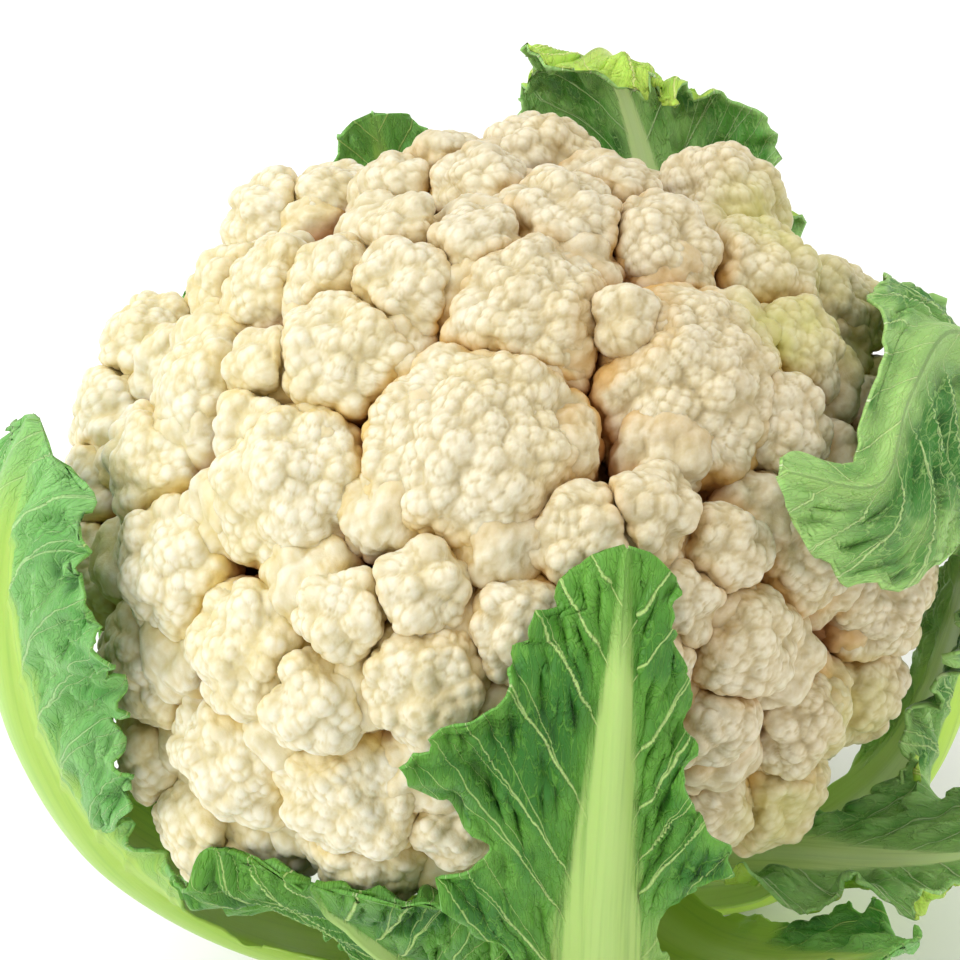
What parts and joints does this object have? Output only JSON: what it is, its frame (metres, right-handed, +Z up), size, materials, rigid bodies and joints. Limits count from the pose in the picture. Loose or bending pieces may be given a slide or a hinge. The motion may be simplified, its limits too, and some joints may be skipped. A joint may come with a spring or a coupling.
{
  "type": "cauliflower",
  "caption": "Whole cauliflower standing on its cut stump: a lobed domed curd on a branching stalk, wrapped from below by trimmed, waved leaves.",
  "frame": {"origin": "centre of the stump's cut face, which rests on the surface", "axes": "+Z up along the stalk through the middle of the curd, -Y towards the side with the front leaf, +X to the right in the picture"},
  "size_m": [0.2147, 0.2121, 0.194],
  "materials": {
    "curd_ivory": "matt, finely grained plant flesh",
    "stalk_pale_green": "satin, fibrous plant flesh",
    "leaf_green": "waxy satin leaf"
  },
  "bodies": {
    "root": {"curd": "curd_ivory", "stalk": "stalk_pale_green", "leaf_front": "leaf_green", "leaf_front_low": "leaf_green", "leaf_left": "leaf_green", "leaf_left_far": "leaf_green", "leaf_left_back": "leaf_green", "leaf_back_left": "leaf_green", "leaf_back": "leaf_green", "leaf_right": "leaf_green", "leaf_right_front": "leaf_green", "leaf_right_low": "leaf_green"}
  },
  "joints": []
}
